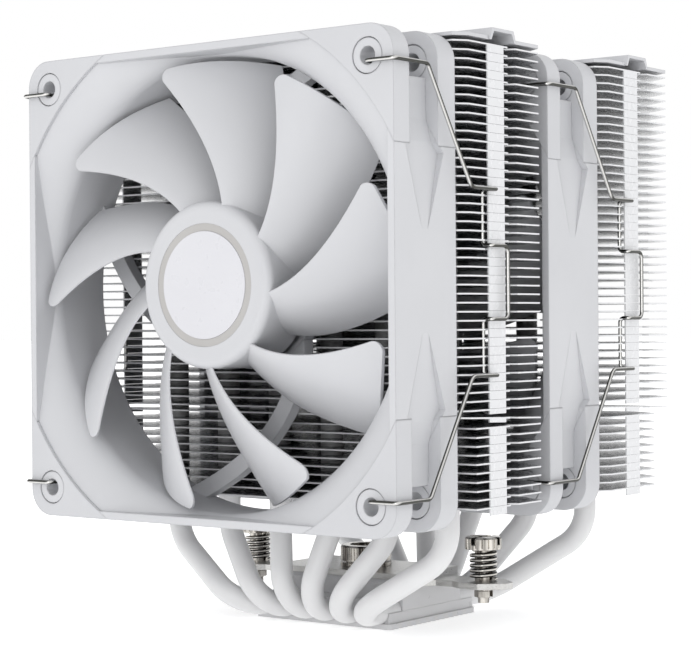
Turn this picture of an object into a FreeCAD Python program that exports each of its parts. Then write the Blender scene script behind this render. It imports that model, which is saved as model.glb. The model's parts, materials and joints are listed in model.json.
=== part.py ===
"""Twin-tower CPU cooler with two 120 mm fans.

Frame: origin at the centre of the cold plate's contact face, +Z up the towers,
+Y the way the air flows (the front fan faces -Y), +X across the fans. Millimetres.
"""
import FreeCAD, Part
import math
import os

from FreeCAD import Vector as V

X_AXIS, Y_AXIS, Z_AXIS = V(1, 0, 0), V(0, 1, 0), V(0, 0, 1)
FIT = 0.05                     # radial running clearance
SIDES = {"left": -1, "right": 1}

# fans
FAN_SIZE = 120.0
FAN_DEPTH = 25.0
FAN_Z = 90.0                   # height of both fan axes
FAN_FRONT = {"front": -68.0, "rear": -0.8}
CORNER_R = 7.0
HOLE_PITCH = 105.0
HOLE_R = 2.2
BUSH_R = 4.15                  # raised ring round each fan hole
BUSH_GAP = 0.22
DUCT_R = 57.6
MOUTH_STEP = 0.8               # the bell mouth starts this far below the pads
MOUTH_DEPTH = 9.5
MOUTH_LEAN = 0.6               # radians by which the mouth leans in at its rim
WALL = 2.0                     # frame wall at the middle of each side
PAD_R = 68.0                   # circle between the rubber corner pads and the bell mouth
FLANGE = 6.25                  # depth of the front corner flange
REAR_FLANGE = 7.2
PAD_SKIN = 1.5
HUB_R = 21.0
HUB_FRONT = 1.6
HUB_REAR = 17.5
BLADES = 9
TIP_R = 56.5
ROOT_R = 19.7
SHAFT_R = 1.5
BASE_PLATE_FRONT = 20.6        # front of the motor base, from the fan's front face
ARMS = 4
ARM_WIDTH = 4.4
ARM_T = 3.6
ARM_ROOT_DEG = -44.5           # direction in which the first rear arm leaves the motor base
HOLLOW_TIP_Z = 12.2            # side hollow: height of its pointed end over the fan's axis
HOLLOW_LEDGE_Z = 33.0
HOLLOW_CORNER = 48.5
MAGNET_R = 18.4
STATOR_Y = (9.0, 15.0)
COIL_Y = (7.6, 16.4)
COIL_X = (7.3, 12.4)
GLAND_Y = 18.0
GLAND_R = 2.6
GLAND_LIP_R = 3.3
GLAND_DEPTH = 1.9

# fin towers
TOWER_FRONT = {"front": -42.6, "rear": 24.6}
TOWER_DEPTH = 40.0
FIN_HALF = 61.5
FIN_T = 0.4
FIN_PITCH = 2.18
UPPER_FINS = 42
LOWER_FINS = 10
TOP_FIN_Z = 148.0
TILTED_FIN_Z = 56.3
TILT_DEG = 2.1
LOWER_TOP_Z = 54.2
LOWER_CUT = 7.6                # how much shallower the lower fins are, on the outer side
STRIP_START = 11.6             # folded edge tabs, from the tower's front face
STRIP_END = 18.9
SHORT_TAB = 0.9
FRONT_CHAMFER = (2.5, 3.3)     # across the fin, then along it
REAR_CHAMFER = (8.0, 5.0)
SEAT_DEPTH = 2.3               # groove for the fan clip, just ahead of the tabs
SEAT_WIDTH = 1.7
RELIEF_DEPTH = 2.2             # notch behind the tabs
COVER_Z = 149.4
COVER_T = 0.9
CHANNEL_H = 2.1                # height of the raised channel over the plate
CHANNEL_BASE = 12.0
CHANNEL_TOP = 9.6
CHANNEL_WALL = 0.8
CHANNEL_MID = 18.0             # channel centre, from the tower's front face
CHANNEL_END = 0.5              # how far it stands out past the fins

# heat pipes
PIPE_R = 3.0
PIPE_Z = 4.2
PIPE_TOP = 151.3
PIPE_X_BASE = [3.2, 10.9, 18.7]
PIPE_X_TOWER = [8.8, 26.8, 45.4]
RISER_IN_TOWER = 16.5          # riser centre, from the tower's front face
RISER_BEND_Z = 29.5            # corner of a riser that doesn't spread
RISER_BEND_DROP = 0.3          # how much lower it is per millimetre of spread
BASE_BEND_Y = (-32.6, 34.0)
RISER_BEND_R = 12.0
BASE_BEND_R = 8.5

# base and mounting bar
BASE_X = 45.3
BASE_Y = 40.0
FLANGE_T = 1.5
FLANGE_STEP = 0.6
BLOCK_Y = 27.0
BLOCK_TOP = 12.0
BAR_T = 1.6
BAR_MID = (22.0, 12.5)         # half length and half width of the bar's broad middle
BAR_DROP = 1.6                 # the arms are bent down by this much
BAR_BEND = 2.2
SCREW_X = 38.7
SCREW_SHANK_R = 2.3
BAR_TIP = 46.8
BAR_TOP = BLOCK_TOP + BAR_T
EYE_TOP = BAR_TOP - BAR_DROP
HEAD_Z = 20.5
HEAD_TOP = 23.7
HEAD_R = 4.9
RING_Z = (7.9, 9.5)            # retaining ring under the bar
RING_R = 2.5
RING_GROOVE_R = 1.7
SCREW_TIP_R = 1.5
SCREW_TIP_Z = 6.3
SPRING_WIRE_R = 0.5
SPRING_R = 3.2
SPRING_TURNS = 5.5
KNOB_R = 7.0
KNOB_TOP = 19.3
KNOB_FLUTES = 54
STUD_R = 1.55
STUD_Z = 7.0

# fan clips
WIRE_R = 0.5
CLIP_END_Z = 51.2
CLIP_HOOK_Z = 22.7
HANDLE_Z = 9.0
CLIP_SIDE_X = 61.0
CLIP_OUTER_X = 63.4            # outer and inner leg of the hairpin at each hook
CLIP_INNER_X = 62.2
CLIP_SEAT_X = 60.1
HANDLE_X = 62.9


# ---------------------------------------------------------------- helpers

def box(x0, x1, y0, y1, z0, z1):
    return Part.makeBox(x1 - x0, y1 - y0, z1 - z0, V(x0, y0, z0))


def cyl_y(r, y0, y1, x=0.0, z=0.0):
    return Part.makeCylinder(r, y1 - y0, V(x, y0, z), Y_AXIS)


def cyl_z(r, z0, z1, x=0.0, y=0.0):
    return Part.makeCylinder(r, z1 - z0, V(x, y, z0), Z_AXIS)


def tube_y(r_out, r_in, y0, y1):
    return cyl_y(r_out, y0, y1).cut(cyl_y(r_in, y0 - 1, y1 + 1))


def tube_z(r_out, r_in, z0, z1, x=0.0, y=0.0):
    return cyl_z(r_out, z0, z1, x, y).cut(cyl_z(r_in, z0 - 1, z1 + 1, x, y))


def prism(points, direction):
    """Straight-sided solid from an outline and an extrusion vector."""
    return Part.Face(Part.makePolygon(points + [points[0]])).extrude(direction)


def moved(shape, x=0.0, y=0.0, z=0.0):
    copy = shape.copy()
    copy.translate(V(x, y, z))
    return copy


def turned(shape, angle, axis=Y_AXIS):
    copy = shape.copy()
    copy.rotate(V(0, 0, 0), axis, angle)
    return copy


def mirrored_x(shape):
    return shape.mirror(V(0, 0, 0), X_AXIS)


def fuse_all(shapes):
    return shapes[0].multiFuse(shapes[1:]).removeSplitter()


def bent_path(points, radii):
    """Wire of straight runs joined by tangent arcs at the inner points."""
    edges = []
    start = points[0]
    for i in range(1, len(points) - 1):
        corner = points[i]
        into = (corner - points[i - 1]).normalize()
        out = (points[i + 1] - corner).normalize()
        turn = into.getAngle(out)
        reach = radii[i - 1] * math.tan(turn / 2)
        a = corner - into * reach
        b = corner + out * reach
        to_centre = (out - into).normalize()
        sagitta = radii[i - 1] * (1 / math.cos(turn / 2) - 1)
        middle = corner + to_centre * sagitta
        edges.append(Part.LineSegment(start, a).toShape())
        edges.append(Part.Arc(a, middle, b).toShape())
        start = b
    edges.append(Part.LineSegment(start, points[-1]).toShape())
    return Part.Wire(edges)


def tube_along(points, radii, r):
    path = bent_path(points, radii)
    direction = points[1] - points[0]
    profile = Part.Wire([Part.makeCircle(r, points[0], direction)])
    solid = path.makePipeShell([profile], True, False)
    expected = math.pi * r * r * path.Length
    if abs(solid.Volume - expected) > 0.02 * expected:
        print("tube volume is off:", solid.Volume, expected)
    return solid


def export(name, shapes):
    solids = []
    for shape in shapes:
        solids.extend(shape.Solids)
    for solid in solids:
        if not solid.isValid():
            print("invalid solid in", name)
    Part.makeCompound(solids).exportStep(os.path.join("parts", name + ".step"))
    print("%-28s %3d solids" % (name, len(solids)))


# ---------------------------------------------------------------- fan, at its own front face

def rounded_square(half, r, y0, y1):
    block = box(-half, half, y0, y1, -half, half)
    edges = [e for e in block.Edges if abs(e.tangentAt(e.FirstParameter).y) > 0.9]
    return block.makeFillet(r, edges)


def bell_mouth():
    """Flared inlet inside the pad circle, limited by the flat side walls."""
    steps = 8
    curve_points = []
    for i in range(steps + 1):
        a = MOUTH_LEAN + (math.pi / 2 - MOUTH_LEAN) * i / steps
        inward = (1 - math.sin(a)) / (1 - math.sin(MOUTH_LEAN))
        deep = (math.cos(MOUTH_LEAN) - math.cos(a)) / math.cos(MOUTH_LEAN)
        curve_points.append(V(DUCT_R + (PAD_R - DUCT_R) * inward,
                              MOUTH_STEP + (MOUTH_DEPTH - MOUTH_STEP) * deep, 0))
    curve = Part.BSplineCurve()
    curve.interpolate(curve_points)
    corners = [curve_points[-1], V(0, MOUTH_DEPTH, 0), V(0, -1, 0), V(PAD_R, -1, 0), curve_points[0]]
    sides = [Part.makeLine(corners[i], corners[i + 1]) for i in range(len(corners) - 1)]
    flare = Part.Face(Part.Wire([curve.toShape()] + sides)).revolve(V(0, 0, 0), Y_AXIS, 360)
    inner = FAN_SIZE / 2 - WALL
    return box(-inner, inner, -2, FAN_DEPTH + 1, -inner, inner).common(flare)


def side_recess():
    """Hollow in the +X side wall, above the middle: a pointed shallow end, then an open corner."""
    half = FAN_SIZE / 2
    rear = FAN_DEPTH - REAR_FLANGE
    outline = [V(0, 11.0, HOLLOW_TIP_Z), V(0, 4.6, 32.0), V(0, FLANGE, 33.5), V(0, FLANGE, half + 1),
               V(0, rear, half + 1), V(0, rear, HOLLOW_LEDGE_Z), V(0, 20.0, 30.5),
               V(0, 13.2, HOLLOW_TIP_Z)]
    floor = [V(half + 1, 0, HOLLOW_TIP_Z - 1), V(half, 0, HOLLOW_TIP_Z),
             V(half - 2.0, 0, HOLLOW_LEDGE_Z), V(half - 3.4, 0, 38.5),
             V(half - 3.6, 0, HOLLOW_CORNER), V(HOLLOW_CORNER, 0, HOLLOW_CORNER),
             V(HOLLOW_CORNER, 0, half + 1), V(half + 1, 0, half + 1)]
    return prism(outline, V(half + 1, 0, 0)).common(prism(floor, V(0, FAN_DEPTH, 0)))


def frame_recesses():
    """All eight side hollows."""
    upper = side_recess()
    lower = upper.mirror(V(0, 0, 0), Z_AXIS)
    return [turned(shape, 90 * i) for i in range(4) for shape in (upper, lower)]


def pad_region(y0, y1, inset):
    """The four corner areas outside the pad circle."""
    square = rounded_square(FAN_SIZE / 2 - inset, CORNER_R - inset, y0, y1)
    return square.cut(cyl_y(PAD_R, y0 - 1, y1 + 1))


def flange_bounds():
    """Corner pad and flange core depths: front pair, then rear pair."""
    rear = FAN_DEPTH - REAR_FLANGE
    return [(0.0, FLANGE), (rear, FAN_DEPTH)]


def hole_tool(r, y0, y1):
    half = HOLE_PITCH / 2
    return [cyl_y(r, y0, y1, sx * half, sz * half) for sx in (-1, 1) for sz in (-1, 1)]


def corner_pads():
    pads = []
    for y0, y1 in flange_bounds():
        core = pad_region(y0 + PAD_SKIN, y1 - PAD_SKIN, PAD_SKIN)
        shell = pad_region(y0, y1, 0.0).cut(core)
        for tool in hole_tool(BUSH_R + BUSH_GAP, y0 - 1, y1 + 1):
            shell = shell.cut(tool)
        pads.append(shell)
    return pads


def arm_point(root, s):
    """Centre line of a rear arm, s from the motor base (0) to the duct wall (1)."""
    a = math.radians(root - 97.0 * s + 30.0 * s * s)
    r = HUB_R - 1.0 + (DUCT_R + 2.5 - HUB_R) * s
    return V(r * math.cos(a), 0, r * math.sin(a))


def rear_arm(root):
    """Curved arm from the motor base to the duct wall, flat on both faces."""
    steps = 8
    rails = []
    for sign in (-1, 1):
        points = []
        for i in range(steps + 1):
            s = i / steps
            along = arm_point(root, s + 0.01) - arm_point(root, s - 0.01)
            across = along.cross(Y_AXIS).normalize()
            points.append(arm_point(root, s) + across * (sign * ARM_WIDTH / 2))
        curve = Part.BSplineCurve()
        curve.interpolate(points)
        rails.append(curve)
    first, second = rails
    outline = Part.Wire([first.toShape(), Part.makeLine(first.EndPoint, second.EndPoint),
                         second.toShape(), Part.makeLine(second.StartPoint, first.StartPoint)])
    arm = Part.Face(outline).extrude(V(0, ARM_T, 0))
    return moved(arm, 0, FAN_DEPTH - ARM_T - 0.6, 0)


def fan_frame():
    body = rounded_square(FAN_SIZE / 2, CORNER_R, 0, FAN_DEPTH)
    body = body.cut(cyl_y(DUCT_R, -1, FAN_DEPTH + 1))
    body = body.cut(bell_mouth())
    for cutter in frame_recesses():
        body = body.cut(cutter)
    for y0, y1 in flange_bounds():
        pocket = pad_region(y0, y1, 0.0)
        core = pad_region(y0 + PAD_SKIN, y1 - PAD_SKIN, PAD_SKIN)
        bushes = [tool.common(pocket) for tool in hole_tool(BUSH_R, y0 + 0.15, y1 - 0.15)]
        body = body.cut(pocket.cut(core)).multiFuse(bushes)
    for tool in hole_tool(HOLE_R, -1, FAN_DEPTH + 1):
        body = body.cut(tool)
    motor_base = cyl_y(HUB_R + 0.4, BASE_PLATE_FRONT, FAN_DEPTH - 0.4)
    motor_base = motor_base.cut(cyl_y(HUB_R - 1.0, BASE_PLATE_FRONT - 1, BASE_PLATE_FRONT + 1.4))
    bearing_post = cyl_y(4.6, 7.6, FAN_DEPTH - 2)
    inside = cyl_y(HUB_R - 0.5, 0, FAN_DEPTH)
    arms = [rear_arm(ARM_ROOT_DEG - 360.0 / ARMS * i).cut(inside) for i in range(ARMS)]
    body = fuse_all([body, motor_base, bearing_post] + arms)
    return body.cut(cyl_y(2.6, 0, FAN_DEPTH - 2.0))


def blade_edge(s, which):
    """Angle (degrees) and depth of a blade's leading or trailing edge, s from root to tip."""
    if which == "leading":
        return -4.8 + 42.9 * s - 11.3 * s * s, 2.5
    return -35.9 + 48.2 * s - 14.2 * s * s, 14.5 + 4.4 * s


def blade_section(distance, facing):
    """Thin cambered outline in the plane at this distance from the axis."""
    ends = []
    for which in ("leading", "trailing"):
        r = distance
        for _ in range(12):
            s = (r - HUB_R) / (TIP_R - HUB_R)
            angle, depth = blade_edge(s, which)
            r = distance / math.cos(math.radians(angle - facing))
        ends.append((distance * math.tan(math.radians(angle - facing)), depth))
    (x0, y0), (x1, y1) = ends
    chord = math.hypot(x1 - x0, y1 - y0)
    camber = 0.085 * chord
    nx, ny = (y1 - y0) / chord, -(x1 - x0) / chord
    if ny > 0:
        nx, ny = -nx, -ny
    upper, lower = [], []
    stations = (0.0, 0.08, 0.25, 0.5, 0.75, 1.0)
    for t in stations:
        lift = 4 * camber * t * (1 - t)
        thick = 0.38 + 1.5 * math.sqrt(t) * (1 - t) + 0.1 * (1 - t)
        px = x0 + (x1 - x0) * t
        py = y0 + (y1 - y0) * t
        upper.append((px + nx * (lift + thick / 2), py + ny * (lift + thick / 2)))
        lower.append((px + nx * (lift - thick / 2), py + ny * (lift - thick / 2)))
    out = V(math.cos(math.radians(facing)), 0, math.sin(math.radians(facing)))
    along = V(-out.z, 0, out.x)
    top, bottom = Part.BSplineCurve(), Part.BSplineCurve()
    top.interpolate([out * distance + along * px + V(0, py, 0) for px, py in upper])
    bottom.interpolate([out * distance + along * px + V(0, py, 0) for px, py in reversed(lower)])
    return Part.Wire([top.toShape(), Part.makeLine(top.EndPoint, bottom.StartPoint),
                      bottom.toShape(), Part.makeLine(bottom.EndPoint, top.StartPoint)])


def tip_rounding(r=2.4):
    """Tool that rounds the sharp leading corner at the blade's tip."""
    def edge_point(s):
        a = math.radians(blade_edge(s, "leading")[0])
        radius = HUB_R + (TIP_R - HUB_R) * s
        return V(radius * math.cos(a), 0, radius * math.sin(a))
    corner = edge_point(1.0)
    back = (edge_point(0.9) - corner).normalize()
    along = V(corner.z, 0, -corner.x).normalize()
    half_angle = back.getAngle(along) / 2
    inward = (back + along).normalize()
    centre = corner + inward * (r / math.sin(half_angle))
    reach = r / math.tan(half_angle)
    outside = corner - inward * 2.0
    outline = [outside, corner + back * reach - along * 1.0, corner + back * reach,
               centre, corner + along * reach, corner + along * reach - back * 1.0]
    tool = prism(outline, V(0, FAN_DEPTH, 0))
    return tool.cut(Part.makeCylinder(r, FAN_DEPTH + 2, V(centre.x, -1, centre.z), Y_AXIS))


def blade_middle(r):
    """Direction (degrees) half way between the blade's two edges at this radius."""
    s = (r - HUB_R) / (TIP_R - HUB_R)
    return (blade_edge(s, "leading")[0] + blade_edge(s, "trailing")[0]) / 2


def blade():
    distances = (17.5, 24.0, 32.0, 40.0, 48.0, 57.5)
    sections = [blade_section(d, blade_middle(max(d, HUB_R))) for d in distances]
    solid = Part.makeLoft(sections, True, False)
    solid = solid.common(tube_y(TIP_R, ROOT_R, 0, FAN_DEPTH))
    return solid.cut(tip_rounding())


def hub_cup():
    cup = cyl_y(HUB_R, HUB_FRONT, HUB_REAR)
    rim = [e for e in cup.Edges if abs(e.BoundBox.YMin - HUB_FRONT) < 0.01
           and abs(e.BoundBox.YMax - HUB_FRONT) < 0.01]
    cup = cup.makeFillet(2.2, rim)
    cup = cup.cut(cyl_y(HUB_R - 1.5, HUB_FRONT + 2.4, HUB_REAR + 1))
    boss = cyl_y(3.2, HUB_FRONT + 2, 6.6)
    cup = cup.fuse(boss)
    cup = cup.cut(cyl_y(SHAFT_R, HUB_FRONT + 1.2, FAN_DEPTH))
    return cup.cut(cyl_y(15.4, 0, HUB_FRONT + 0.6))


def impeller():
    one = blade()
    blades = [turned(one, -360.0 / BLADES * i) for i in range(BLADES)]
    return fuse_all([hub_cup()] + blades)


def stator_core():
    poles = []
    for i in range(4):
        pole = box(4.0, 14.0, *STATOR_Y, -2.5, 2.5)
        shoe = tube_y(16.3, 13.4, *STATOR_Y).common(box(9.0, 17.0, 8, 16, -9.5, 9.5))
        poles.append(turned(pole.fuse(shoe), 90 * i + 45))
    ring = cyl_y(7.0, *STATOR_Y)
    return fuse_all([ring] + poles).cut(cyl_y(4.62, 0, FAN_DEPTH))


def coils():
    """Winding round each pole, short of the shoe."""
    window = box(0, 20, STATOR_Y[0] - FIT, STATOR_Y[1] + FIT, -2.55, 2.55)
    one = box(*COIL_X, *COIL_Y, -4.4, 4.4).cut(window)
    edges = [e for e in one.Edges if abs(e.tangentAt(e.FirstParameter).x) > 0.9
             and abs(e.CenterOfMass.z) > 4]
    one = one.makeFillet(1.2, edges)
    return [turned(one, 90 * i + 45) for i in range(4)]


def cross_rod(r, x0, x1):
    """Cylinder along X at the place of the fan's lead."""
    return Part.makeCylinder(r, x1 - x0, V(x0, GLAND_Y, 0), X_AXIS)


def cable_gland():
    """Rubber grommet in the -X side wall where the fan's lead comes out."""
    face = -FAN_SIZE / 2
    body = cross_rod(GLAND_R, face + 0.1, face + GLAND_DEPTH).fuse(cross_rod(GLAND_LIP_R, face, face + 0.8))
    return body.cut(cross_rod(1.3, face - 1, face + 4))


def make_fan(name):
    """Every piece of one fan, moved to its place."""
    face = -FAN_SIZE / 2
    gland_seat = cross_rod(GLAND_R, face - 1, face + GLAND_DEPTH)
    gland_seat = gland_seat.fuse(cross_rod(GLAND_LIP_R, face - 1, face + 0.8))
    pieces = {
        "frame": [fan_frame().cut(gland_seat)],
        "corner_pads": corner_pads(),
        "cable_gland": [cable_gland()],
        "stator_core": [stator_core()],
        "stator_coils": coils(),
        "circuit_board": [tube_y(16.0, 4.7, 17.6, 18.8)],
        "sleeve_bearing": [tube_y(2.58, SHAFT_R + FIT, 7.8, 20.0)],
        "impeller": [impeller()],
        "hub_ring": [tube_y(15.38, 13.5, HUB_FRONT + 0.1, HUB_FRONT + 0.6)],
        "hub_disc": [cyl_y(13.46, HUB_FRONT - 0.05, HUB_FRONT + 0.6)],
        "rotor_magnet": [tube_y(MAGNET_R, MAGNET_R - 1.6, 6.0, 16.5)],
        "rotor_yoke": [tube_y(HUB_R - 1.52, MAGNET_R + 0.04, 5.0, 16.9)],
        "rotor_shaft": [cyl_y(SHAFT_R, HUB_FRONT + 1.25, 21.0)],
    }
    for piece, shapes in pieces.items():
        placed = [moved(s, 0, FAN_FRONT[name], FAN_Z) for s in shapes]
        export("%s_fan_%s" % (name, piece), placed)


# ---------------------------------------------------------------- fan clips

def make_clip(fan, side_name):
    """Spring wire from hole to hole: a hairpin and a groove seat on each side of the handle."""
    to_tower = TOWER_FRONT[fan] - FAN_FRONT[fan]
    ahead = -WIRE_R - 0.45
    seat_y = to_tower + STRIP_START - 0.6
    hairpin_y = to_tower + STRIP_START + 0.9
    handle_y = to_tower + STRIP_END - 0.9
    hole_x = HOLE_PITCH / 2
    half = [V(hole_x, 3.0, CLIP_END_Z), V(hole_x, ahead, CLIP_END_Z), V(CLIP_SIDE_X, ahead, CLIP_END_Z),
            V(CLIP_SIDE_X, 12.2, CLIP_END_Z), V(CLIP_OUTER_X, 26.8, CLIP_HOOK_Z),
            V(CLIP_OUTER_X, hairpin_y, CLIP_HOOK_Z), V(CLIP_INNER_X, hairpin_y, CLIP_HOOK_Z),
            V(CLIP_INNER_X, seat_y, CLIP_HOOK_Z), V(CLIP_SEAT_X, seat_y, CLIP_HOOK_Z),
            V(CLIP_SEAT_X, seat_y, HANDLE_Z), V(HANDLE_X, seat_y, HANDLE_Z),
            V(HANDLE_X, handle_y, HANDLE_Z)]
    bends = [1.2, 1.2, 1.6, 2.0, 0.58, 0.58, 0.7, 1.0, 1.2, 0.8, 1.8]
    points = half + [V(p.x, p.y, -p.z) for p in reversed(half)]
    points = [V(SIDES[side_name] * p.x, p.y, p.z) for p in points]
    wire = tube_along(points, bends + list(reversed(bends)), WIRE_R)
    export("%s_fan_clip_%s" % (fan, side_name), [moved(wire, 0, FAN_FRONT[fan], FAN_Z)])


# ---------------------------------------------------------------- fin towers

def fin_outline(rear, notched, seated):
    """Right-hand edge of a fin from front to rear, then mirrored."""
    half = FIN_HALF
    right = [(half - FRONT_CHAMFER[0], 0.0), (half, FRONT_CHAMFER[1])]
    if seated:
        right += [(half, STRIP_START - SEAT_WIDTH), (half - SEAT_DEPTH, STRIP_START - SEAT_WIDTH),
                  (half - SEAT_DEPTH, STRIP_START), (half, STRIP_START)]
    if notched:
        inner = half - RELIEF_DEPTH
        right += [(half, STRIP_END + 1.8), (inner, STRIP_END + 2.8),
                  (inner, STRIP_END + 4.4), (half, STRIP_END + 5.6)]
    right += [(half, rear - REAR_CHAMFER[1]), (half - REAR_CHAMFER[0], rear)]
    left = [(-x, y) for x, y in reversed(right)]
    return [V(x, y, 0) for x, y in right + left]


def pipe_holes(z0, z1):
    r = PIPE_R + FIT
    return [cyl_z(r, z0, z1, sign * x, RISER_IN_TOWER) for x in PIPE_X_TOWER for sign in (-1, 1)]


def fin(rear, tab_height, seated=False):
    """One fin with its bottom face at z = 0 and its edge tabs folded down."""
    plate = prism(fin_outline(rear, True, seated), V(0, 0, FIN_T))
    plate = plate.cut(Part.makeCompound(pipe_holes(-1, 1)))
    tab = box(FIN_HALF - FIN_T, FIN_HALF, STRIP_START, STRIP_END, -tab_height, FIN_T)
    return fuse_all([plate, tab, mirrored_x(tab)])


def in_clip_seat(z):
    """Whether a fin at this height crosses one of the clip's two seated runs."""
    return HANDLE_Z - 1.5 < abs(z - FAN_Z) < CLIP_HOOK_Z + 1.5


def lower_fin(name, tab_height):
    """Lower fins are shallower towards the outside of the cooler."""
    if name == "rear":
        return fin(TOWER_DEPTH - LOWER_CUT, tab_height)
    return fin(TOWER_DEPTH, tab_height).cut(
        box(-FIN_HALF - 1, FIN_HALF + 1, -1, LOWER_CUT - 2.0, -5, 5))


def make_tower(name):
    y = TOWER_FRONT[name]
    full_tab = FIN_PITCH - FIN_T - 0.06
    plain = fin(TOWER_DEPTH, full_tab)
    seated = fin(TOWER_DEPTH, full_tab, True)
    stack = []
    for i in range(UPPER_FINS - 1):
        z = TOP_FIN_Z - FIN_PITCH * i
        stack.append(moved(seated if in_clip_seat(z) else plain, 0, y, z))
    short = fin(TOWER_DEPTH, SHORT_TAB)
    stack.append(moved(short, 0, y, TOP_FIN_Z - FIN_PITCH * (UPPER_FINS - 1)))
    tilted = short.copy()
    tilted.rotate(V(0, TOWER_DEPTH / 2, 0), X_AXIS, -TILT_DEG)
    stack.append(moved(tilted, 0, y, TILTED_FIN_Z))
    export(name + "_tower_upper_fins", stack)

    lower = lower_fin(name, full_tab)
    export(name + "_tower_lower_fins",
           [moved(lower, 0, y, LOWER_TOP_Z - FIN_PITCH * i) for i in range(LOWER_FINS)])
    make_cover(name)


def channel_profile(shrink, z0):
    """Section of the raised channel, or of its hollow when shrunk."""
    base, top, height = CHANNEL_BASE / 2 - shrink, CHANNEL_TOP / 2 - shrink, CHANNEL_H - shrink
    x = -(FIN_HALF + CHANNEL_END)
    low, high = z0, COVER_T + height
    return [V(x, CHANNEL_MID - base, low), V(x, CHANNEL_MID + base, low),
            V(x, CHANNEL_MID + top, high), V(x, CHANNEL_MID - top, high)]


def make_cover(name):
    """Thin top plate, pressed up into a hollow channel over the row of pipe tips."""
    plate = prism(fin_outline(TOWER_DEPTH, False, False), V(0, 0, COVER_T))
    length = V(2 * (FIN_HALF + CHANNEL_END), 0, 0)
    cover = plate.fuse(prism(channel_profile(0.0, 0.0), length))
    cover = cover.cut(prism(channel_profile(CHANNEL_WALL, -0.1), length))
    export(name + "_tower_top_cover", [moved(cover, 0, TOWER_FRONT[name], COVER_Z)])


# ---------------------------------------------------------------- heat pipes and base

def heat_pipe(x_base, x_tower):
    """One pipe: front riser, flat run through the base, rear riser."""
    y_front = TOWER_FRONT["front"] + RISER_IN_TOWER
    y_rear = TOWER_FRONT["rear"] + RISER_IN_TOWER
    spread = abs(x_tower - x_base)
    bend_z = RISER_BEND_Z - RISER_BEND_DROP * spread
    points = [V(x_tower, y_front, PIPE_TOP - PIPE_R),
              V(x_tower, y_front, bend_z),
              V(x_base, BASE_BEND_Y[0], PIPE_Z),
              V(x_base, BASE_BEND_Y[1], PIPE_Z),
              V(x_tower, y_rear, bend_z),
              V(x_tower, y_rear, PIPE_TOP - PIPE_R)]
    solid = tube_along(points, [RISER_BEND_R, BASE_BEND_R, BASE_BEND_R, RISER_BEND_R], PIPE_R)
    tips = [Part.makeSphere(PIPE_R, points[0]), Part.makeSphere(PIPE_R, points[-1])]
    return fuse_all([solid] + tips)


def make_pipes():
    number = 1
    for sign in (-1, 1):
        order = reversed(range(3)) if sign < 0 else range(3)
        for i in order:
            pipe = heat_pipe(sign * PIPE_X_BASE[i], sign * PIPE_X_TOWER[i])
            export("heat_pipe_%d" % number, [pipe])
            number += 1


def pipe_grooves():
    return [cyl_y(PIPE_R + 0.02, -BASE_Y, BASE_Y, sign * x, PIPE_Z)
            for x in PIPE_X_BASE for sign in (-1, 1)]


def make_base():
    hx, hy = BASE_X / 2, BASE_Y / 2
    grooves = Part.makeCompound(pipe_grooves())
    plate = box(-hx, hx, -hy, hy, 0, FLANGE_T)
    edges = [e for e in plate.Edges if abs(e.tangentAt(e.FirstParameter).z) > 0.9]
    plate = plate.makeFillet(1.0, edges)
    upper = box(-hx + FLANGE_STEP, hx - FLANGE_STEP, -hy + 0.6, hy - 0.6, FLANGE_T, PIPE_Z)
    export("cold_plate", [plate.fuse(upper).removeSplitter().cut(grooves)])
    block = box(-hx + FLANGE_STEP, hx - FLANGE_STEP, -BLOCK_Y / 2, BLOCK_Y / 2, PIPE_Z, BLOCK_TOP)
    top_edges = [e for e in block.Edges if e.BoundBox.ZMin > BLOCK_TOP - 0.01]
    block = block.makeChamfer(0.8, top_edges).cut(grooves)
    block = block.cut(cyl_z(STUD_R + FIT, STUD_Z - FIT, BLOCK_TOP + 1))
    export("base_block", [block])


def make_crossbar():
    """Stamped bar: a broad middle on the block, arms bent down, an eye at each screw."""
    length, width = BAR_MID
    half = [V(0, width, 0), V(length, width, 0), V(length + 5.0, 5.2, 0), V(32.0, 4.8, 0),
            V(35.0, 6.4, 0), V(41.0, 6.4, 0), V(BAR_TIP, 1.6, 0)]
    outline = half + [V(p.x, -p.y, 0) for p in reversed(half)]
    bend = length + BAR_BEND
    low, high = BLOCK_TOP - BAR_DROP, BLOCK_TOP
    side_view = [V(0, -width, high), V(length, -width, high), V(bend, -width, low),
                 V(BAR_TIP, -width, low), V(BAR_TIP, -width, EYE_TOP), V(bend + 0.6, -width, EYE_TOP),
                 V(length + 0.6, -width, BAR_TOP), V(0, -width, BAR_TOP)]
    right = prism(outline, V(0, 0, BAR_TOP)).common(prism(side_view, V(0, 2 * width, 0)))
    bar = right.fuse(mirrored_x(right)).removeSplitter()
    for sign in (-1, 1):
        bar = bar.cut(cyl_z(SCREW_SHANK_R + FIT, 0, BAR_TOP, sign * SCREW_X))
    bar = bar.cut(cyl_z(2.0 + FIT, 0, BAR_TOP + 1))
    export("mounting_crossbar", [bar])


def knurl(solid, r, z0, z1, count, depth, x=0.0):
    """Straight V flutes round an upright cylinder."""
    tool = prism([V(r - depth, 0, 0), V(r + 0.3, -depth * 0.9, 0), V(r + 0.3, depth * 0.9, 0)],
                 V(0, 0, z1 - z0))
    flutes = []
    for i in range(count):
        flute = moved(tool, 0, 0, z0)
        flute.rotate(V(0, 0, 0), Z_AXIS, 360.0 * i / count)
        flutes.append(moved(flute, x))
    return solid.cut(Part.makeCompound(flutes))


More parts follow.
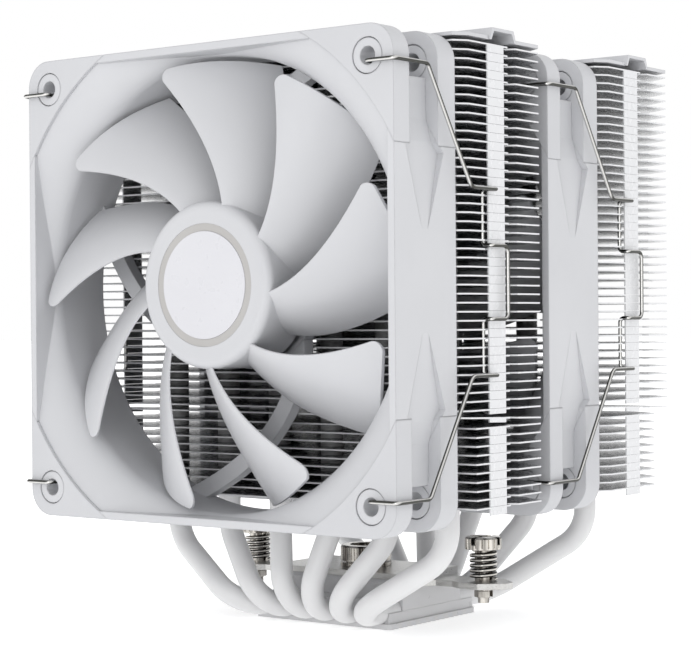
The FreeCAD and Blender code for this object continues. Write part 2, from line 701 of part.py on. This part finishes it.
def make_knob():
    """Knurled nut over a knurled flange on the bar, with its stud down into the base block."""
    flange_top = BAR_TOP + 1.0
    nut_z = BAR_TOP + 1.5
    flange = cyl_z(KNOB_R, BAR_TOP + FIT, flange_top)
    neck = cyl_z(KNOB_R - 1.4, BAR_TOP + FIT, nut_z + 1)
    nut = cyl_z(KNOB_R, nut_z, KNOB_TOP)
    edges = [e for e in nut.Edges if e.BoundBox.ZMin > KNOB_TOP - 0.01]
    nut = nut.makeChamfer(0.5, edges)
    nut = knurl(nut, KNOB_R, nut_z + 0.4, KNOB_TOP - 0.5, KNOB_FLUTES, 0.3)
    flange = knurl(flange, KNOB_R, BAR_TOP, flange_top + 0.1, KNOB_FLUTES, 0.3)
    stud = cyl_z(2.0, BLOCK_TOP + FIT, BAR_TOP + 1).fuse(cyl_z(STUD_R, STUD_Z, BAR_TOP + 1))
    knob = fuse_all([flange, neck, nut, stud])
    knob = knob.cut(cyl_z(4.4, KNOB_TOP - 1.0, KNOB_TOP + 1))
    export("crossbar_knob", [knob.cut(box(-4.6, 4.6, -0.6, 0.6, KNOB_TOP - 1.9, KNOB_TOP + 1))])


def screw(x):
    """Captive mounting screw: slotted crown head, plain shank, ring groove, threaded tip."""
    head = cyl_z(HEAD_R, HEAD_Z, HEAD_TOP, x)
    edges = [e for e in head.Edges if e.BoundBox.ZMin > HEAD_TOP - 0.01]
    head = head.makeChamfer(0.4, edges)
    head = head.cut(box(x - 6, x + 6, -0.65, 0.65, HEAD_TOP - 2.0, HEAD_TOP + 1))
    head = head.cut(box(x - 0.65, x + 0.65, -6, 6, HEAD_TOP - 2.0, HEAD_TOP + 1))
    head = knurl(head, HEAD_R, HEAD_Z + 0.5, HEAD_TOP - 0.4, 18, 0.35, x)
    shank = cyl_z(SCREW_SHANK_R, RING_Z[1] + 0.05, HEAD_Z, x)
    neck = cyl_z(RING_GROOVE_R, RING_Z[0] - 0.3, HEAD_Z, x)
    tip = cyl_z(SCREW_TIP_R, SCREW_TIP_Z, HEAD_Z, x)
    return fuse_all([head, shank, neck, tip])


def retaining_ring(x, side):
    """Open ring snapped on the neck, its gap on the outer side."""
    ring = tube_z(RING_R, RING_GROOVE_R + FIT, *RING_Z, x)
    gap = box(x, x + 4, -0.7, 0.7, RING_Z[0] - 1, RING_Z[1] + 1)
    return ring.cut(gap if side > 0 else moved(gap, -4.0))


def spring(x):
    """Coil spring between the bar and the screw's head."""
    z0 = EYE_TOP + SPRING_WIRE_R + FIT
    z1 = HEAD_Z - SPRING_WIRE_R - FIT
    helix = Part.makeHelix((z1 - z0) / SPRING_TURNS, z1 - z0, SPRING_R)
    profile = Part.Wire([Part.makeCircle(SPRING_WIRE_R, V(SPRING_R, 0, 0), Y_AXIS)])
    coil = Part.Wire(helix.Edges).makePipeShell([profile], True, True)
    return moved(coil, x, 0, z0)


def make_screws():
    for side_name, side in SIDES.items():
        x = side * SCREW_X
        export("mounting_screw_" + side_name, [screw(x)])
        export("screw_spring_" + side_name, [spring(x)])
        export("retaining_ring_" + side_name, [retaining_ring(x, side)])


def main():
    os.makedirs("parts", exist_ok=True)
    make_base()
    make_crossbar()
    make_knob()
    make_screws()
    make_pipes()
    for name in ("front", "rear"):
        make_tower(name)
        make_fan(name)
        for side_name in SIDES:
            make_clip(name, side_name)


main()
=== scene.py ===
import json
import math

import bmesh
import bpy
from mathutils import Matrix, Vector

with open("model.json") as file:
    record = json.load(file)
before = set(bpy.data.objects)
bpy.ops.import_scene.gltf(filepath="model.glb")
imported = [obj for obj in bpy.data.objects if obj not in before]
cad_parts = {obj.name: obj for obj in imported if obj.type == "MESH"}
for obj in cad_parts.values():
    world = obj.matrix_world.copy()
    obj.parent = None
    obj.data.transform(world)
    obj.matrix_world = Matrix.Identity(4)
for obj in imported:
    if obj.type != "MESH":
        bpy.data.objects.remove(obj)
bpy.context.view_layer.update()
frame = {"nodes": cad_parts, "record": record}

NODES = frame["nodes"]
SCENE = bpy.context.scene

# the camera, with angles in degrees; the azimuth is how far its place is turned from -Y towards +X
CAMERA_AT = Vector((0.3292, -0.4387, 0.0811))
CAMERA_AZIMUTH = 37.42
CAMERA_PITCH = -0.18
CAMERA_ROLL = -0.45
CAMERA_LENS = 103.76
SENSOR_WIDTH = 36.0

# the studio
FLOOR_HALF_SIZE = 6.0
FLOOR_GREY = 0.95
FLOOR_GLOW = 0.45
WORLD_STRENGTH = 1.0
KEY_AT = (0.45, -1.25, 0.35)
KEY_TARGET = (0, 0, 0.08)
KEY_SIZE = 0.6
KEY_POWER = 2.0

# the white surfaces, each between a lower and an upper tone
PLASTIC_TONES = (0.53, 0.535, 0.555), (0.55, 0.555, 0.575)
SILICONE_TONES = (0.52, 0.525, 0.545), (0.54, 0.545, 0.565)
BASE_TONES = (0.54, 0.54, 0.55), (0.58, 0.58, 0.59)
PIPE_TONES = (0.68, 0.68, 0.685), (0.72, 0.72, 0.725)
DISC_TONES = (0.60, 0.60, 0.63), (0.62, 0.62, 0.65)
FIN_EDGE = (0.68, 0.685, 0.70)
# the darker tones of the flat fin faces are painted shade for the gaps between the fins
FIN_FACE_PAINTED_SHADE_TONES = (0.36, 0.365, 0.38), (0.44, 0.445, 0.46)
FIN_FACE_BARE = 0.45           # how metallic the faces of a fin are
FIN_LEVEL = (0.45, 0.6)        # from here on a face of a fin counts as level


# ---------------------------------------------------------------- materials

def new_material(name):
    mat = bpy.data.materials.new(name)
    mat.use_nodes = True
    tree = mat.node_tree
    tree.nodes.clear()
    out = tree.nodes.new("ShaderNodeOutputMaterial")
    shader = tree.nodes.new("ShaderNodeBsdfPrincipled")
    tree.links.new(shader.outputs["BSDF"], out.inputs["Surface"])
    return mat, tree, shader


def noise(tree, scale, detail=3.0, stretch=(1, 1, 1)):
    coords = tree.nodes.new("ShaderNodeTexCoord")
    mapping = tree.nodes.new("ShaderNodeMapping")
    mapping.inputs["Scale"].default_value = stretch
    tex = tree.nodes.new("ShaderNodeTexNoise")
    tex.inputs["Scale"].default_value = scale
    tex.inputs["Detail"].default_value = detail
    tree.links.new(coords.outputs["Object"], mapping.inputs["Vector"])
    tree.links.new(mapping.outputs["Vector"], tex.inputs["Vector"])
    return tex.outputs["Fac"]


def ramp(tree, value, stops):
    node = tree.nodes.new("ShaderNodeValToRGB")
    elements = node.color_ramp.elements
    while len(elements) < len(stops):
        elements.new(0.5)
    for element, (place, colour) in zip(elements, stops):
        element.position = place
        element.color = (*colour, 1.0)
    tree.links.new(value, node.inputs["Fac"])
    return node.outputs["Color"]


def grey(level):
    return (level, level, level)


def bump(tree, height, shader, distance, edge=0.0):
    """Fine relief, over edges softened by a small radius."""
    node = tree.nodes.new("ShaderNodeBump")
    node.inputs["Distance"].default_value = distance
    tree.links.new(height, node.inputs["Height"])
    tree.links.new(node.outputs["Normal"], shader.inputs["Normal"])
    if edge:
        soft = tree.nodes.new("ShaderNodeBevel")
        soft.samples = 4
        soft.inputs["Radius"].default_value = edge
        tree.links.new(soft.outputs["Normal"], node.inputs["Normal"])


def coated(name, tones, rough, grain, depth, edge=0.0):
    """Painted or moulded surface: slight colour drift, uneven gloss and fine grain."""
    mat, tree, shader = new_material(name)
    low, high = tones
    tone = ramp(tree, noise(tree, 35.0), [(0.35, low), (0.7, high)])
    tree.links.new(tone, shader.inputs["Base Color"])
    gloss = ramp(tree, noise(tree, 300.0), [(0.3, grey(rough - 0.05)), (0.7, grey(rough + 0.06))])
    tree.links.new(gloss, shader.inputs["Roughness"])
    bump(tree, noise(tree, grain, 4.0), shader, depth, edge)
    return mat


def metal(name, dark, bright, rough, stretch=(1, 1, 1), scale=900.0, edge=0.0):
    """Plated or drawn metal with streaks between a dark and a bright tone; where the two tones lie
    far apart, as for the nickel, the streaks are painted reflection.
    """
    mat, tree, shader = new_material(name)
    tone = ramp(tree, noise(tree, scale, 2.0, stretch), [(0.38, dark), (0.62, bright)])
    tree.links.new(tone, shader.inputs["Base Color"])
    gloss = ramp(tree, noise(tree, scale, 4.0, stretch),
                 [(0.3, grey(rough)), (0.75, grey(rough + 0.14))])
    tree.links.new(gloss, shader.inputs["Roughness"])
    shader.inputs["Metallic"].default_value = 1.0
    bump(tree, noise(tree, scale, 4.0, stretch), shader, 0.00001, edge)
    return mat


def wire_metal_painted_highlight(name, dark, bright, painted_light_direction):
    """Drawn wire with painted highlight and painted shade: a bright band where the surface turns
    partly toward a fixed direction, dark beyond it on both sides, with fine drawing marks.
    """
    mat, tree, shader = new_material(name)
    geometry = tree.nodes.new("ShaderNodeNewGeometry")
    side = tree.nodes.new("ShaderNodeVectorMath")
    side.operation = "DOT_PRODUCT"
    side.inputs[1].default_value = painted_light_direction
    tree.links.new(geometry.outputs["Normal"], side.inputs[0])
    level = tree.nodes.new("ShaderNodeMapRange")
    level.inputs["From Min"].default_value = -1.0
    tree.links.new(side.outputs["Value"], level.inputs["Value"])
    # painted highlight between painted shade, set by how the surface faces the given direction
    tone = ramp(tree, level.outputs["Result"],
                [(0.30, dark), (0.48, bright), (0.70, bright), (0.85, dark)])
    tree.links.new(tone, shader.inputs["Base Color"])
    gloss = ramp(tree, noise(tree, 2500.0), [(0.3, grey(0.12)), (0.7, grey(0.24))])
    tree.links.new(gloss, shader.inputs["Roughness"])
    shader.inputs["Metallic"].default_value = 1.0
    bump(tree, noise(tree, 2500.0), shader, 0.00001)
    return mat


def fin_material():
    """White edges and folded tabs; the flat faces of each sheet get a darker tone, painted shade
    for the gaps between the fins, and are made half metallic.
    """
    mat, tree, shader = new_material("fin_sheet")
    geometry = tree.nodes.new("ShaderNodeNewGeometry")
    split = tree.nodes.new("ShaderNodeSeparateXYZ")
    level = tree.nodes.new("ShaderNodeMath")
    level.operation = "ABSOLUTE"
    tree.links.new(geometry.outputs["Normal"], split.inputs["Vector"])
    tree.links.new(split.outputs["Z"], level.inputs[0])
    steep, flat = FIN_LEVEL
    low, high = FIN_FACE_PAINTED_SHADE_TONES
    # the level faces of the fins are darkened: painted shade between the fins
    face = ramp(tree, level.outputs[0], [(steep, grey(0.0)), (flat, grey(1.0))])
    bare = ramp(tree, level.outputs[0], [(steep, grey(0.0)), (flat, grey(FIN_FACE_BARE))])
    tone = ramp(tree, noise(tree, 60.0), [(0.3, low), (0.7, high)])
    mix = tree.nodes.new("ShaderNodeMix")
    mix.data_type = "RGBA"
    mix.inputs["A"].default_value = (*FIN_EDGE, 1)
    tree.links.new(face, mix.inputs["Factor"])
    tree.links.new(tone, mix.inputs["B"])
    tree.links.new(mix.outputs["Result"], shader.inputs["Base Color"])
    tree.links.new(bare, shader.inputs["Metallic"])
    gloss = ramp(tree, noise(tree, 500.0), [(0.3, grey(0.22)), (0.7, grey(0.3))])
    tree.links.new(gloss, shader.inputs["Roughness"])
    return mat


MATERIALS = {
    "white_frame": coated("frame_plastic", PLASTIC_TONES, 0.42, 2600.0, 0.00002, 0.0005),
    "white_impeller": coated("impeller_plastic", PLASTIC_TONES, 0.36, 2600.0, 0.00001, 0.0003),
    "white_rubber": coated("pad_silicone", SILICONE_TONES, 0.55, 3000.0, 0.00002, 0.0005),
    "white_base": coated("base_coat", BASE_TONES, 0.32, 1800.0, 0.00002, 0.0003),
    "white_pipe": coated("pipe_coat", PIPE_TONES, 0.34, 1500.0, 0.00002),
    "white_cover": coated("cover_coat", PLASTIC_TONES, 0.32, 1800.0, 0.00002, 0.0002),
    "white_bar": metal("bar_plate", (0.52, 0.515, 0.50), (0.60, 0.595, 0.58), 0.26,
                       (1, 8, 8), 300.0, 0.0002),
    "white_fin": fin_material(),
    "hub_disc": coated("hub_disc_print", DISC_TONES, 0.3, 900.0, 0.00001, 0.0001),
    "grey_ring": coated("hub_ring_grey", ((0.40, 0.39, 0.38), (0.44, 0.43, 0.42)),
                        0.4, 1500.0, 0.00001),
    "circuit_board": coated("board_mask", ((0.50, 0.54, 0.52), (0.56, 0.58, 0.57)),
                            0.35, 900.0, 0.00002),
    # nickel: vertical streaks from near black to bright, a painted reflection of dark and bright
    # surroundings in the plating
    "nickel": metal("nickel_painted_reflection", (0.10, 0.09, 0.08), (0.68, 0.65, 0.60), 0.12,
                    (1, 1, 0.1), 520.0, 0.00015),
    # both wires get painted highlight and painted shade from a fixed direction
    "spring_steel": wire_metal_painted_highlight("spring_wire_painted_highlight", (0.04, 0.04, 0.035), (0.66, 0.64, 0.60),
                               (0.1, 0.1, 0.98)),
    "clip_wire": wire_metal_painted_highlight("clip_wire_painted_highlight", (0.06, 0.06, 0.055), (0.64, 0.635, 0.62),
                            (-0.5, -0.6, 0.6)),
    "yoke_steel": metal("yoke_plate", (0.40, 0.40, 0.41), (0.55, 0.55, 0.56), 0.3),
    "shaft_steel": metal("shaft_ground", (0.50, 0.50, 0.51), (0.70, 0.70, 0.71), 0.12),
    "lamination": metal("lamination_sheets", (0.20, 0.21, 0.22), (0.32, 0.33, 0.35), 0.4,
                        (1, 12, 1)),
    "winding": metal("winding_wire", (0.50, 0.22, 0.08), (0.75, 0.36, 0.15), 0.3, (1, 1, 20)),
    "bronze": metal("bearing_bronze", (0.45, 0.30, 0.14), (0.60, 0.42, 0.22), 0.4),
    "magnet": coated("magnet_ferrite", ((0.05, 0.05, 0.055), (0.08, 0.08, 0.085)),
                     0.6, 1500.0, 0.00003),
}



def dress(obj, material):
    obj.data.materials.clear()
    obj.data.materials.append(material)


def dress_cad_nodes():
    """Every CAD node gets the material of its slot in the record."""
    for sub in frame["record"]["subparts"]:
        obj = NODES[sub["node"]]
        dress(obj, MATERIALS[sub["material_slot"]])


dress_cad_nodes()


# ---------------------------------------------------------------- stage

def make_floor():
    mesh = bpy.data.meshes.new("floor")
    bm = bmesh.new()
    bmesh.ops.create_grid(bm, x_segments=1, y_segments=1, size=FLOOR_HALF_SIZE)
    bm.to_mesh(mesh)
    bm.free()
    floor = bpy.data.objects.new("floor", mesh)
    SCENE.collection.objects.link(floor)
    mat, tree, shader = new_material("floor_pale")
    shader.inputs["Base Color"].default_value = (*grey(FLOOR_GREY), 1)
    shader.inputs["Roughness"].default_value = 0.9
    shader.inputs["Emission Color"].default_value = (1, 1, 1, 1)
    shader.inputs["Emission Strength"].default_value = FLOOR_GLOW
    dress(floor, mat)


def make_light(name, at, target, size, power):
    data = bpy.data.lights.new(name, "AREA")
    data.shape = "SQUARE"
    data.size = size
    data.energy = power
    lamp = bpy.data.objects.new(name, data)
    lamp.location = at
    lamp.rotation_euler = (Vector(target) - Vector(at)).to_track_quat("-Z", "Y").to_euler()
    SCENE.collection.objects.link(lamp)


def make_lights():
    world = bpy.data.worlds.new("studio")
    world.use_nodes = True
    background = world.node_tree.nodes["Background"]
    background.inputs["Color"].default_value = (1, 1, 1, 1)
    background.inputs["Strength"].default_value = WORLD_STRENGTH
    SCENE.world = world
    make_light("key", KEY_AT, KEY_TARGET, KEY_SIZE, KEY_POWER)


def make_camera():
    data = bpy.data.cameras.new("camera")
    data.lens = CAMERA_LENS
    data.sensor_width = SENSOR_WIDTH
    camera = bpy.data.objects.new("camera", data)
    SCENE.collection.objects.link(camera)
    a, p = math.radians(CAMERA_AZIMUTH), math.radians(CAMERA_PITCH)
    forward = Vector((-math.sin(a) * math.cos(p), math.cos(a) * math.cos(p), math.sin(p)))
    right = Vector((math.cos(a), math.sin(a), 0.0))
    turn = Matrix((right, right.cross(forward), -forward)).transposed().to_4x4()
    camera.matrix_world = (Matrix.Translation(CAMERA_AT) @ turn
                           @ Matrix.Rotation(math.radians(CAMERA_ROLL), 4, "Z"))
    SCENE.camera = camera


make_floor()
make_lights()
make_camera()
SCENE.view_settings.view_transform = "Standard"
